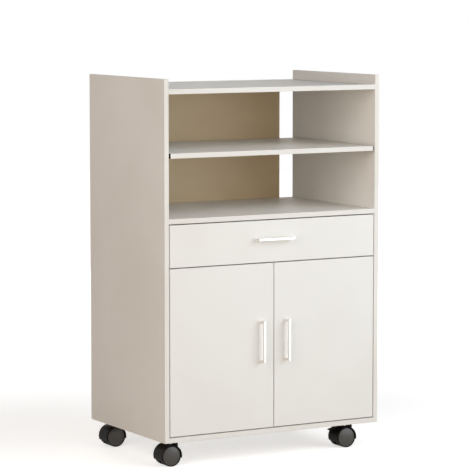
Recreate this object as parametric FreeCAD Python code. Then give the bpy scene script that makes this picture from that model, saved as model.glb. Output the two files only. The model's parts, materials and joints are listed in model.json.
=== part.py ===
import FreeCAD, Part
import math
import os

# Kitchen microwave cart: raised side panels, open shelves, one drawer, two doors, four swivel casters.
# Millimetres. X right, Y to the rear (the front faces -Y), Z up, floor at Z = 0.

V = FreeCAD.Vector

# ---- carcass boards
cart_width = 600.0
side_depth = 392.0
side_height = 865.0
board = 12.0              # thickness of every carcass board
edge_soft = 0.6           # rounding of the edge banding
top_drop = 23.5           # top board lies this far below the side panel tops
middle_shelf_top = 535.0  # above the underside of the carcass
adjustable_shelf_top = 690.0
shelf_end_gap = 5.0       # adjustable shelf to each side panel
shelf_rear_gap = 3.0
rail_depth = 60.0
rail_setback = 20.0       # behind the front plane, clear of the swinging door corners
rail_cam_share = 0.35     # cam and dowel along the rail depth
rail_dowel_share = 0.75

# ---- back board
back_thick = 3.0
back_recess = 1.0         # rear face of the board ahead of the rear plane
rebate_width = 6.0        # overlap on each side panel
cord_slot = 42.0          # gap beside the right side panel in the open bays
nail_from_side = 20.0
nails_in_row = 6

# ---- doors and drawer front, inset flush with the side panel edges
front_thick = 15.0
reveal = 2.5              # gap around each front
drawer_front_height = 101.5
handle_length = 102.0
handle_bar = 6.0          # width of the bar and of its legs
handle_bar_thick = 5.0
handle_reach = 18.0       # bar face ahead of the front plane
handle_soft = 0.9
door_handle_inset = 35.0  # handle centre to the meeting line of the doors
door_handle_rise = 11.5   # handle centre above the door centre
drawer_handle_rise = 5.5

# ---- drawer box
runner_space = 12.5       # between the box and each side panel
drawer_side_height = 74.0
drawer_side_lift = 12.25  # box underside above the front rail
drawer_rear_gap = 23.0    # box to the back board
drawer_board = 12.0
drawer_bottom_thick = 3.0
groove_depth = 5.0
groove_lift = 14.0        # bottom groove above the box underside
groove_play = 0.2
drawer_cam_low = 29.0     # cams above the box underside
drawer_cam_high = 58.0

# ---- roller runners
sheet = 1.2               # rolled steel thickness
channel_inner = 17.0
channel_reach = 10.5
channel_front_gap = 2.0   # cabinet channel behind the drawer front
channel_rear_gap = 21.0   # and ahead of the back board
foot_drop = 1.8           # drawer side underside below the rolling surface
roller_radius = 7.0
roller_soft = 0.6
roller_width = 5.6
roller_from_side = 3.8    # side panel to the near face of a roller
roller_lift = 0.3         # roller above the channel floor
roller_end = 12.0         # roller axis from the runner end
stub_radius = 2.0
spin_play = 0.05          # radial play of everything that spins on a pin
flange_play = 0.3
flange_end_gap = 2.0      # flange of the drawer strip to the side panel
runner_foot = 10.0        # flange under the drawer side
channel_screw_shares = (0.16, 0.51, 0.94)
strip_screw_shares = (0.10, 0.47, 0.86)

# ---- concealed hinges
cup_radius = 17.5
cup_bore_depth = 12.5
cup_edge = 5.0            # bore to the door edge
cup_wall = 0.8
rim_radius = 19.0
pivot_in = 9.0            # pivot from the door edge
pivot_back = 5.7          # pivot behind the door face
hinge_pin_radius = 1.0
knuckle_radius = 2.0
knuckle_half = 5.8
arm_half = 5.6
arm_sheet = 1.5
arm_reach = 27.0          # pivot to the outer face of the arm's front leg
arm_clear = 14.3          # pivot to the arm's cross leg, outside the door corner's sweep
hinge_plate_thick = 2.0
hinge_plate_half = 22.0
hinge_plate_start = 26.0  # behind the front plane
hinge_plate_length = 34.0
hinge_screw_half = 16.0   # hinge centre to each plate screw
hinge_from_end = 70.0
ear_gap = 0.4
ear_thick = 2.0
ear_half = 2.5
ear_back = 2.2            # ear behind the pivot

# ---- small hardware
peg_radius = 2.5          # shelf pins and cam bolts
cam_radius = 6.0
cam_depth = 9.5
cam_setback = 24.0        # cam axis from the board end
cam_clear = 0.1
cam_cross_half = 4.0      # cross slot in the face of the cam
cam_cross_width = 1.2
cam_cross_depth = 1.3
bolt_in_panel = 8.0
bolt_in_board = 21.0
dowel_radius = 3.0
dowel_in_panel = 8.0
dowel_in_board = 12.0
hole_end_play = 0.5
cam_from_edge = 95.0      # cams and dowels of a carcass board, from the front and rear planes
dowel_from_edge = 140.0
screw_radius = 1.75
screw_length = 11.0
screw_head_radius = 3.2
screw_head = 1.4
handle_screw_radius = 2.0
handle_screw_in_leg = 9.0
handle_screw_head_radius = 4.0
handle_screw_head = 2.2
handle_screw_soft = 0.8
nail_radius = 0.8
nail_head_radius = 2.2
nail_head = 0.5
nail_depth = 15.0

# ---- shelf pins: peg in the panel, collar, flat-topped support under the shelf
pin_from_front = 45.0
pin_from_rear = 60.0
pin_head = 10.0           # support beyond the shelf end
pin_support = 4.0         # thickness and half width of the support
pin_collar = 1.5
pin_collar_radius = 3.75

# ---- casters
caster_height = 63.0
kingpin_inset_x = 52.5    # from the outside of the side panel
kingpin_inset_y = 50.0    # from the front and rear planes
wheel_radius = 25.0
wheel_width = 16.2
wheel_gap_half = 5.3      # caster centre plane to the inner wheel face
wheel_edge = 1.0
disc_radius = 23.4
disc_groove = 0.6
tread_wall = 5.0
hub_wall = 4.0
hollow_share = 0.5        # of the wheel width, from the inner face
trail = 19.0
axle_radius = 3.0
axle_half = 19.5
axle_end_play = 0.3
web_half = 4.9
web_inset = 0.5           # web edge below the hood surface
hood_outer = 27.6
hood_inner = 25.8
hood_half = 22.0
hood_front_drop = 5.0     # hood tip below the axle on the kingpin side
hood_rear_drop = 10.0     # hood tip below the axle on the trailing side
neck_radius = 8.0
neck_play = 0.3           # under the mounting plate
kingpin_radius = 4.0
kingpin_length = 16.5
kingpin_top_inset = 0.2
plate_size = 38.0
plate_thick = 2.0
plate_corner = 4.0
plate_hole_offset = 13.5
plate_hole_play = 0.35

# ---- brake pedal of a locking caster, about the wheel axle
pedal_pivot_x = -13.0
pedal_pivot_z = 26.5
pedal_tip_x = -37.5
pedal_tip_z = 19.5
pedal_thick = 3.0
pedal_half = 8.0
pedal_pin_radius = 1.5
pedal_boss_radius = 2.6
pedal_ear_gap = 0.4
pedal_ear_thick = 2.4
pedal_ear_radius = 3.4
pedal_stem = 5.5          # ear root below the pivot
stem_inset = 0.6          # ear root above the hood's inner face
pedal_press_deg = 12.0    # turn from released to locked
shoe_clear = 0.3          # locked shoe to the tyre
shoe_outer = 31.0
shoe_width_deg = 12.0
shoe_angle_deg = 136.0
shoe_play = 0.6           # around the shoes in the hood window
window_reach = 4.0        # window cut above the hood surface
window_spread_deg = 6.0
rib_start = 5.0           # stiffening rib from the axle centre
rib_spread_deg = 7.0

# ---- derived positions
front = -(side_depth - handle_reach) / 2.0
back = front + side_depth
half = cart_width / 2.0
inner = half - board
base = caster_height
side_top = base + side_height
bottom_top = base + board
shelf_back = back - back_recess - back_thick
middle_top = base + middle_shelf_top
middle_under = middle_top - board
adjustable_top = base + adjustable_shelf_top
top_surface = side_top - top_drop
drawer_front_top = middle_under - reveal
drawer_front_under = drawer_front_top - drawer_front_height
door_top = drawer_front_under - reveal
door_under = bottom_top + reveal
door_height = door_top - door_under
door_width = (2.0 * inner - 3.0 * reveal) / 2.0
rail_mid = (door_top + drawer_front_under) / 2.0
rail_top = rail_mid + board / 2.0
box_under = rail_top + drawer_side_lift
box_top = box_under + drawer_side_height
box_outer = inner - runner_space
box_inner = box_outer - drawer_board
box_front = front + front_thick
box_back = shelf_back - drawer_rear_gap
eps = 1.0                 # cutters run this far past a face


def box(x0, x1, y0, y1, z0, z1):
    lo = V(min(x0, x1), min(y0, y1), min(z0, z1))
    return Part.makeBox(abs(x1 - x0), abs(y1 - y0), abs(z1 - z0), lo)


def rod(start, end, radius):
    along = end.sub(start)
    return Part.makeCylinder(radius, along.Length, start, along)


def slab(outline, z0, z1):
    """Closed XY outline, extruded from z0 to z1."""
    points = [V(x, y, z0) for x, y in outline]
    return Part.Face(Part.makePolygon(points + [points[0]])).extrude(V(0, 0, z1 - z0))


def slab_y(outline, y0, y1):
    """Closed XZ outline, extruded from y0 to y1."""
    points = [V(x, y0, z) for x, z in outline]
    return Part.Face(Part.makePolygon(points + [points[0]])).extrude(V(0, y1 - y0, 0))


def mirrored(shape):
    return shape.mirror(V(0, 0, 0), V(1, 0, 0))


def shifted(shape, x, y, z):
    copy = shape.copy()
    copy.translate(V(x, y, z))
    return copy


def softened(shape, chosen, radius=edge_soft):
    """Round the straight edges whose middle point is picked by chosen."""
    edges = [e for e in shape.Edges if chosen(e.CenterOfMass)]
    return shape.makeFillet(radius, edges)


def near(a, b):
    return abs(a - b) < 0.01


boards = {}     # board name -> solid
cutters = {}    # board name -> tools taken out of it
hardware = {}   # group name -> separate solids


def cut_from(name, tool):
    cutters.setdefault(name, []).append(tool)


def add_to(group, *solids):
    hardware.setdefault(group, []).extend(solids)


def cam_joint(panel, bored, face_point, into, cam_side, board_thick, locks, bolts):
    """Bolt screwed into a panel face, pulled by a cam lock in the end of the joining board."""
    far = face_point + into * cam_setback
    mouth = far + cam_side * (board_thick / 2.0)
    cut_from(panel, rod(face_point - into * (bolt_in_panel + hole_end_play), face_point + into * eps,
                        peg_radius))
    cut_from(bored, rod(face_point - into * eps, far, peg_radius + cam_clear))
    cut_from(bored, rod(mouth - cam_side * cam_depth, mouth + cam_side * eps, cam_radius))
    lock = rod(mouth - cam_side * (cam_depth - cam_clear), mouth - cam_side * cam_clear,
               cam_radius - spin_play)
    lock = lock.cut(rod(face_point, far, peg_radius + cam_clear))
    across = into.cross(cam_side)
    long, wide = cam_cross_half, cam_cross_width / 2.0
    ring = ((-long, -wide), (long, -wide), (long, wide), (-long, wide), (-long, -wide))
    for a, b in ((into, across), (across, into)):
        slot = Part.makePolygon([mouth + a * s + b * t for s, t in ring])
        lock = lock.cut(Part.Face(slot).extrude(cam_side * -cam_cross_depth))
    add_to(locks, lock)
    add_to(bolts, rod(face_point - into * bolt_in_panel, face_point + into * bolt_in_board, peg_radius))


def dowel_joint(panel, bored, face_point, into):
    start = face_point - into * dowel_in_panel
    end = face_point + into * dowel_in_board
    cut_from(panel, rod(start - into * hole_end_play, face_point + into * eps, dowel_radius))
    cut_from(bored, rod(face_point - into * eps, end + into * hole_end_play, dowel_radius))
    add_to("dowels", rod(start, end, dowel_radius))


def wood_screw(group, panel, seat, into, through):
    """Pan head on seat, shank running along into: through is the plate it passes before the panel."""
    tip = seat + into * screw_length
    shank = rod(seat, tip, screw_radius)
    head = rod(seat - into * screw_head, seat, screw_head_radius)
    add_to(group, shank.fuse(head).removeSplitter())
    cut_from(panel, rod(seat + into * through, tip + into * hole_end_play, screw_radius))


def pierced(plate, seat, into, thick, radius=screw_radius):
    """Plate with the hole of a screw whose head sits on seat."""
    return plate.cut(rod(seat - into * eps, seat + into * (thick + eps), radius))


# ---- side panels, with a rebate for the back board along the inner rear edge
def side_panel(sign, rebate_top):
    shape = box(sign * inner, sign * half, front, back, base, side_top)
    shape = softened(shape, lambda c: near(c.y, front) or near(c.z, side_top))
    rebate = box(sign * (inner - eps), sign * (inner + rebate_width), shelf_back, back + eps,
                 base - eps, rebate_top)
    return shape.cut(rebate)


boards["left_side_panel"] = side_panel(-1, top_surface)
boards["right_side_panel"] = side_panel(1, middle_top)


# ---- boards between the side panels
def cross_board(z0, z1, y0, y1, half_width):
    shape = box(-half_width, half_width, y0, y1, z0, z1)
    return softened(shape, lambda c: near(c.y, y0) and near(c.x, 0))


boards["top_panel"] = cross_board(top_surface - board, top_surface, front, shelf_back, inner)
boards["middle_shelf"] = cross_board(middle_under, middle_top, front, shelf_back, inner)
boards["bottom_panel"] = cross_board(base, bottom_top, front, shelf_back, inner)
boards["front_rail"] = cross_board(rail_top - board, rail_top, front + rail_setback,
                                   front + rail_setback + rail_depth, inner)
shelf_half = inner - shelf_end_gap
boards["adjustable_shelf"] = cross_board(adjustable_top - board, adjustable_top, front,
                                         shelf_back - shelf_rear_gap, shelf_half)

for sign, panel in ((-1, "left_side_panel"), (1, "right_side_panel")):
    into = V(-sign, 0, 0)
    for name, top in (("top_panel", top_surface), ("middle_shelf", middle_top),
                      ("bottom_panel", bottom_top)):
        down = V(0, 0, 1 if name == "bottom_panel" else -1)
        mid = top - board / 2.0
        for y in (front + cam_from_edge, back - cam_from_edge):
            cam_joint(panel, name, V(sign * inner, y, mid), into, down, board, "cam_locks", "cam_bolts")
        for y in (front + dowel_from_edge, back - dowel_from_edge):
            dowel_joint(panel, name, V(sign * inner, y, mid), into)
    rail_y = front + rail_setback + rail_depth * rail_cam_share
    cam_joint(panel, "front_rail", V(sign * inner, rail_y, rail_mid), into, V(0, 0, -1), board,
              "cam_locks", "cam_bolts")
    rail_y = front + rail_setback + rail_depth * rail_dowel_share
    dowel_joint(panel, "front_rail", V(sign * inner, rail_y, rail_mid), into)

for sign, panel in ((-1, "left_side_panel"), (1, "right_side_panel")):
    for y in (front + pin_from_front, back - pin_from_rear):
        under = adjustable_top - board
        axis_z = under - peg_radius
        peg = rod(V(sign * (inner + bolt_in_panel), y, axis_z), V(sign * inner, y, axis_z), peg_radius)
        collar = rod(V(sign * inner, y, axis_z), V(sign * (inner - pin_collar), y, axis_z),
                     pin_collar_radius)
        collar = collar.cut(box(-half, half, y - pin_collar_radius, y + pin_collar_radius, under,
                                under + pin_collar_radius))
        rest = box(sign * inner, sign * (inner - shelf_end_gap - pin_head), y - pin_support,
                   y + pin_support, under - pin_support, under)
        add_to("shelf_pins", peg.fuse([collar, rest]).removeSplitter())
        cut_from(panel, rod(V(sign * (inner + bolt_in_panel + hole_end_play), y, axis_z),
                            V(sign * (inner - eps), y, axis_z), peg_radius))

# ---- back board: full width behind the cupboard and drawer, short of the right side above
back_rear = back - back_recess
slot_x = inner - cord_slot
reach = inner + rebate_width - groove_play
outline = [(-reach, base), (reach, base), (reach, middle_top), (slot_x, middle_top),
           (slot_x, top_surface), (-reach, top_surface)]
boards["back_panel"] = slab_y(outline, shelf_back, back_rear)

nail_x = -inner + nail_from_side
for target, top, end in (("bottom_panel", bottom_top, inner), ("middle_shelf", middle_top, inner),
                         ("top_panel", top_surface, slot_x)):
    z = top - board / 2.0
    for i in range(nails_in_row):
        x = nail_x + (end - nail_from_side - nail_x) * i / (nails_in_row - 1.0)
        nail = rod(V(x, shelf_back - nail_depth, z), V(x, back_rear, z), nail_radius)
        head = rod(V(x, back_rear, z), V(x, back_rear + nail_head, z), nail_head_radius)
        add_to("back_panel_nails", nail.fuse(head).removeSplitter())
        through = rod(V(x, shelf_back - nail_depth, z), V(x, back, z), nail_radius)
        cut_from("back_panel", through)
        cut_from(target, through)


# ---- bar handles: a straight bar on two legs
def bar_handle(centre, along, across):
    """Bar along one axis, standing off the front plane on legs at its ends."""
    out = V(0, -1, 0)

    def block(a0, a1, w, o0, o1):
        corners = [centre + along * a + across * (s * w / 2.0) + out * o
                   for a in (a0, a1) for s in (-1, 1) for o in (o0, o1)]
        xs, ys, zs = [[getattr(c, k) for c in corners] for k in "xyz"]
        return box(min(xs), max(xs), min(ys), max(ys), min(zs), max(zs))

    h = handle_length / 2.0
    bar = block(-h, h, handle_bar, handle_reach - handle_bar_thick, handle_reach)
    legs = [block(s * h, s * (h - handle_bar), handle_bar, 0.0, handle_reach) for s in (-1, 1)]
    shape = bar.fuse(legs).removeSplitter()
    outer = [e for e in shape.Edges if near(e.CenterOfMass.y, front - handle_reach)
             or near(abs((e.CenterOfMass - centre).dot(along)), h)]
    outer = [e for e in outer if not near(e.CenterOfMass.y, front)]
    return shape.makeFillet(handle_soft, outer)


def fit_handle(centre, along, across, handle, screws, panel):
    """Handle, its two screws from behind the front, and the holes for them."""
    shape = bar_handle(centre, along, across)
    for s in (-1, 1):
        foot = centre + along * (s * (handle_length - handle_bar) / 2.0)
        rear = foot + V(0, front_thick, 0)
        tip = foot - V(0, handle_screw_in_leg, 0)
        shape = shape.cut(rod(tip - V(0, hole_end_play, 0), foot + V(0, eps, 0), handle_screw_radius))
        cut_from(panel, rod(foot - V(0, eps, 0), rear + V(0, eps, 0), handle_screw_radius))
        head = rod(rear, rear + V(0, handle_screw_head, 0), handle_screw_head_radius)
        head = softened(head, lambda c: near(c.y, rear.y + handle_screw_head), handle_screw_soft)
        add_to(screws, rod(tip, rear, handle_screw_radius).fuse(head).removeSplitter())
    add_to(handle, shape)


# ---- drawer
drawer_front = box(-(inner - reveal), inner - reveal, front, box_front, drawer_front_under,
                   drawer_front_top)
boards["drawer_front"] = softened(drawer_front, lambda c: near(c.y, front))
fit_handle(V(0, front, (drawer_front_top + drawer_front_under) / 2.0 + drawer_handle_rise),
           V(1, 0, 0), V(0, 0, 1), "drawer_handle", "drawer_handle_screws", "drawer_front")
groove_z = box_under + groove_lift
back_face = box_back - drawer_board
for sign, name in ((-1, "drawer_left_side"), (1, "drawer_right_side")):
    shape = box(sign * box_inner, sign * box_outer, box_front, box_back, box_under, box_top)
    boards[name] = shape
    cut_from(name, box(sign * (box_inner - eps), sign * (box_inner + groove_depth), box_front - eps,
                       back_face + groove_depth, groove_z, groove_z + drawer_bottom_thick))
    for lift in (drawer_cam_low, drawer_cam_high):
        z = box_under + lift
        middle = sign * (box_inner + drawer_board / 2.0)
        cam_joint("drawer_front", name, V(middle, box_front, z), V(0, 1, 0), V(-sign, 0, 0),
                  drawer_board, "drawer_cam_locks", "drawer_cam_bolts")
        cam_joint(name, "drawer_back", V(sign * box_inner, box_back - drawer_board / 2.0, z),
                  V(-sign, 0, 0), V(0, 1, 0), drawer_board, "drawer_cam_locks", "drawer_cam_bolts")
boards["drawer_back"] = box(-box_inner, box_inner, back_face, box_back, box_under, box_top)
cut_from("drawer_back", box(-box_inner - eps, box_inner + eps, back_face - eps,
                            back_face + groove_depth, groove_z, groove_z + drawer_bottom_thick))
bottom_half = box_inner + groove_depth - groove_play
cut_from("drawer_front", box(-bottom_half - groove_play, bottom_half + groove_play,
                             box_front - groove_depth, box_front + eps, groove_z,
                             groove_z + drawer_bottom_thick))
boards["drawer_bottom"] = box(-bottom_half, bottom_half, box_front - groove_depth + groove_play,
                              back_face + groove_depth - groove_play, groove_z,
                              groove_z + drawer_bottom_thick)

# ---- roller runners; floor is the rolling surface of the cabinet channel
floor = box_under + foot_drop
roller_z = floor + roller_lift + roller_radius
cabinet_start = box_front + channel_front_gap
cabinet_end = shelf_back - channel_rear_gap
cabinet_roller_y = cabinet_start + roller_end
drawer_roller_y = box_back - roller_end


def cabinet_runner(sign):
    """Channel on the side panel, open towards the drawer, with a stub for its front roller."""
    x0 = sign * inner
    web = box(x0, x0 - sign * sheet, cabinet_start, cabinet_end, floor - sheet,
              floor + channel_inner + sheet)
    low = box(x0, x0 - sign * channel_reach, cabinet_start, cabinet_end, floor - sheet, floor)
    high = box(x0, x0 - sign * channel_reach, cabinet_start, cabinet_end, floor + channel_inner,
               floor + channel_inner + sheet)
    stub = rod(V(x0, cabinet_roller_y, roller_z),
               V(x0 - sign * (roller_from_side + roller_width), cabinet_roller_y, roller_z), stub_radius)
    return web.fuse([low, high, stub]).removeSplitter()


def drawer_runner(sign):
    """Sheet strip on the drawer side, a foot under the side and a flange that rides the rollers."""
    x0 = sign * box_outer
    flange_z = roller_z + roller_radius + flange_play
    web = box(x0, x0 + sign * sheet, box_front, box_back, box_under - sheet, flange_z + sheet)
    foot = box(x0 + sign * sheet, x0 - sign * runner_foot, box_front, box_back, box_under - sheet,
               box_under)
    flange = box(x0, sign * (inner - flange_end_gap), box_front, box_back, flange_z, flange_z + sheet)
    stub = rod(V(x0 + sign * sheet / 2.0, drawer_roller_y, roller_z),
               V(sign * (inner - roller_from_side), drawer_roller_y, roller_z), stub_radius)
    return web.fuse([foot, flange, stub]).removeSplitter()


def roller(sign, y):
    near_x = sign * (inner - roller_from_side)
    far_x = sign * (inner - roller_from_side - roller_width)
    tyre = rod(V(near_x, y, roller_z), V(far_x, y, roller_z), roller_radius)
    tyre = tyre.makeFillet(roller_soft, [e for e in tyre.Edges if e.Closed])
    return tyre.cut(rod(V(near_x + sign, y, roller_z), V(far_x - sign, y, roller_z),
                        stub_radius + spin_play))


for sign, side, panel, box_side in ((-1, "left", "left_side_panel", "drawer_left_side"),
                                    (1, "right", "right_side_panel", "drawer_right_side")):
    cabinet = cabinet_runner(sign)
    drawer = drawer_runner(sign)
    for share in channel_screw_shares:
        y = cabinet_start + (cabinet_end - cabinet_start) * share
        seat = V(sign * (inner - sheet), y, floor + channel_inner / 2.0)
        cabinet = pierced(cabinet, seat, V(sign, 0, 0), sheet)
        wood_screw("carcass_screws", panel, seat, V(sign, 0, 0), sheet)
    for share in strip_screw_shares:
        y = box_front + (box_back - box_front) * share
        seat = V(sign * (box_outer + sheet), y, floor + roller_radius)
        drawer = pierced(drawer, seat, V(-sign, 0, 0), sheet)
        wood_screw("drawer_runner_screws", box_side, seat, V(-sign, 0, 0), sheet)
    add_to(side + "_cabinet_runner", cabinet)
    add_to(side + "_drawer_runner", drawer)
    add_to("cabinet_rollers", roller(sign, cabinet_roller_y))
    add_to("drawer_rollers", roller(sign, drawer_roller_y))


# ---- concealed hinges, drawn for the left door and mirrored for the right one
pivot_x = -inner + reveal + pivot_in
pivot_y = front + pivot_back
cup_x = -inner + reveal + cup_edge + cup_radius
cup_floor = front + front_thick - cup_bore_depth
door_back = front + front_thick
hinge_pin_half = knuckle_half + ear_gap + ear_thick


def hinge_cup(z):
    shell = rod(V(cup_x, cup_floor, z), V(cup_x, door_back, z), cup_radius)
    rim = rod(V(cup_x, door_back, z), V(cup_x, door_back + cup_wall, z), rim_radius)
    shell = shell.fuse(rim)
    shell = shell.cut(rod(V(cup_x, cup_floor + cup_wall, z), V(cup_x, door_back + cup_wall + eps, z),
                          cup_radius - cup_wall))
    for s in (-1, 1):
        near_z = z + s * (knuckle_half + ear_gap)
        ear = box(pivot_x - ear_half, pivot_x + ear_half, cup_floor, pivot_y + ear_back, near_z,
                  near_z + s * ear_thick)
        ear = ear.common(rod(V(cup_x, cup_floor, z), V(cup_x, door_back, z), cup_radius))
        shell = shell.fuse(ear)
    long = hinge_pin_half + eps
    bore = rod(V(pivot_x, pivot_y, z - long), V(pivot_x, pivot_y, z + long),
               hinge_pin_radius + spin_play)
    return shell.cut(bore).removeSplitter()


def hinge_arm(z):
    """Gooseneck strip from the pivot knuckle round the door edge to the mounting plate."""
    t = arm_sheet
    x2 = pivot_x + arm_reach
    y3 = pivot_y + arm_clear
    x4 = -inner + hinge_plate_thick
    y4 = front + hinge_plate_start + hinge_plate_length
    outline = [(pivot_x, pivot_y - t / 2), (x2, pivot_y - t / 2), (x2, y3 + t), (x4 + t, y3 + t),
               (x4 + t, y4), (x4, y4), (x4, y3), (x2 - t, y3), (x2 - t, pivot_y + t / 2),
               (pivot_x, pivot_y + t / 2)]
    strip = slab(outline, z - arm_half, z + arm_half)
    knuckle = rod(V(pivot_x, pivot_y, z - knuckle_half), V(pivot_x, pivot_y, z + knuckle_half),
                  knuckle_radius)
    long = knuckle_half + eps
    bore = rod(V(pivot_x, pivot_y, z - long), V(pivot_x, pivot_y, z + long), hinge_pin_radius)
    return strip.fuse(knuckle).removeSplitter().cut(bore)


def hinge_plate(z):
    y0 = front + hinge_plate_start
    return box(-inner, -inner + hinge_plate_thick, y0, y0 + hinge_plate_length,
               z - hinge_plate_half, z + hinge_plate_half)


hinge_heights = (door_under + hinge_from_end, door_top - hinge_from_end)
for sign, door, panel in ((-1, "left_door", "left_side_panel"), (1, "right_door", "right_side_panel")):
    turn = (lambda s: s) if sign < 0 else mirrored
    shape = box(sign * (inner - reveal), sign * (inner - reveal - door_width), front, door_back,
                door_under, door_top)
    boards[door + "_panel"] = softened(shape, lambda c: near(c.y, front))
    fit_handle(V(sign * door_handle_inset, front, (door_top + door_under) / 2.0 + door_handle_rise),
               V(0, 0, 1), V(1, 0, 0), door + "_handle", door + "_handle_screws", door + "_panel")
    for z in hinge_heights:
        cut_from(door + "_panel", turn(rod(V(cup_x, cup_floor, z), V(cup_x, door_back + eps, z),
                                           cup_radius)))
        add_to(door + "_hinge_cups", turn(hinge_cup(z)))
        add_to("hinge_arms", turn(hinge_arm(z)))
        add_to("hinge_pins", turn(rod(V(pivot_x, pivot_y, z - hinge_pin_half),
                                      V(pivot_x, pivot_y, z + hinge_pin_half), hinge_pin_radius)))
        plate = turn(hinge_plate(z))
        for dz in (-hinge_screw_half, hinge_screw_half):
            seat = V(sign * (inner - hinge_plate_thick),
                     front + hinge_plate_start + hinge_plate_length / 2.0, z + dz)
            plate = pierced(plate, seat, V(sign, 0, 0), hinge_plate_thick)
            wood_screw("carcass_screws", panel, seat, V(sign, 0, 0), hinge_plate_thick)
        add_to("hinge_plates", plate)


# ---- casters, drawn about the wheel axle (X away from the trailing side, Y along the axle)
axle_z = wheel_radius
plate_under = base - plate_thick
kingpin_end = plate_under - kingpin_length


def arc_shell(outer, inner_r, y0, y1, z_low_front, z_low_rear):
    """Half ring over the wheels; its tips end below the axle, lower on the trailing side."""
    ring = rod(V(0, y0, 0), V(0, y1, 0), outer)
    if inner_r > 0:
        ring = ring.cut(rod(V(0, y0 - eps, 0), V(0, y1 + eps, 0), inner_r))
    far = outer + eps
    lower = [(-far, -far), (far, -far), (far, -z_low_front), (-far, -z_low_rear)]
    return ring.cut(slab_y(lower, y0 - eps, y1 + eps))


def caster_wheel(side):
    """Revolved wheel: rounded tread, flat outer disc marked off by a groove, blind bore."""
    y0 = wheel_gap_half
    y1 = wheel_gap_half + wheel_width
    wheel = rod(V(0, y0, 0), V(0, y1, 0), wheel_radius)
    wheel = wheel.makeFillet(wheel_edge, [e for e in wheel.Edges if e.Closed])
    ring = rod(V(0, y1 - disc_groove, 0), V(0, y1 + eps, 0), disc_radius + disc_groove)
    ring = ring.cut(rod(V(0, y1 - 2 * disc_groove, 0), V(0, y1 + 2 * eps, 0), disc_radius))
    hollow = rod(V(0, y0 - eps, 0), V(0, y0 + wheel_width * hollow_share, 0),
                 wheel_radius - tread_wall)
    hollow = hollow.cut(rod(V(0, y0 - 2 * eps, 0), V(0, y1, 0), axle_radius + hub_wall))
    bore = rod(V(0, y0 - eps, 0), V(0, axle_half + axle_end_play, 0), axle_radius + spin_play)
    wheel = wheel.cut([ring, hollow, bore])
    return wheel if side > 0 else wheel.mirror(V(0, 0, 0), V(0, 1, 0))


def pedal_line(distance):
    """Point on the pedal's middle line, this far from its pivot towards the tip."""
    dx, dz = pedal_tip_x - pedal_pivot_x, pedal_tip_z - pedal_pivot_z
    length = math.hypot(dx, dz)
    return pedal_pivot_x + dx / length * distance, pedal_pivot_z + dz / length * distance


def shoe_block(inner_r, outer_r, y0, y1, spread):
    """Curved block over the tyre at the shoe angle."""
    ring = rod(V(0, y0, 0), V(0, y1, 0), outer_r).cut(rod(V(0, y0 - eps, 0), V(0, y1 + eps, 0), inner_r))
    a0, a1 = [math.radians(shoe_angle_deg + s * (shoe_width_deg / 2.0 + spread)) for s in (-1, 1)]
    far = 2.0 * outer_r
    wedge = [(0, 0), (far * math.cos(a0), far * math.sin(a0)), (far * math.cos(a1), far * math.sin(a1))]
    return ring.common(slab_y(wedge, y0 - eps, y1 + eps))


def brake_pedal():
    """Tread plate, boss on its pivot, two shoes shaped to lie along the tyres when it is pressed."""
    reach = math.hypot(pedal_tip_x - pedal_pivot_x, pedal_tip_z - pedal_pivot_z)
    (x0, z0), (x1, z1) = pedal_line(0.0), pedal_line(reach)
    nx, nz = -(z1 - z0) / reach, (x1 - x0) / reach
    t = pedal_thick / 2.0
    tread = slab_y([(x0 + nx * t, z0 + nz * t), (x1 + nx * t, z1 + nz * t), (x1 - nx * t, z1 - nz * t),
                    (x0 - nx * t, z0 - nz * t)], -pedal_half, pedal_half)
    tip = rod(V(x1, -pedal_half, z1), V(x1, pedal_half, z1), t)
    boss = rod(V(x0, -pedal_half, z0), V(x0, pedal_half, z0), pedal_boss_radius)
    pin_half = pedal_half + pedal_ear_gap + pedal_ear_thick
    pin = rod(V(x0, -pin_half, z0), V(x0, pin_half, z0), pedal_pin_radius)
    shoe_inner = wheel_radius + shoe_clear
    tyre = rod(V(0, -pedal_half - eps, 0), V(0, pedal_half + eps, 0), shoe_inner)
    tyre.rotate(V(x0, 0, z0), V(0, 1, 0), pedal_press_deg)
    shoes = []
    for s in (-1, 1):
        y0, y1 = sorted((s * (web_half + shoe_play), s * pedal_half))
        shoes.append(shoe_block(shoe_inner, shoe_outer, y0, y1, 0.0).cut(tyre))
    return tread.fuse([tip, boss, pin] + shoes).removeSplitter()


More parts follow.
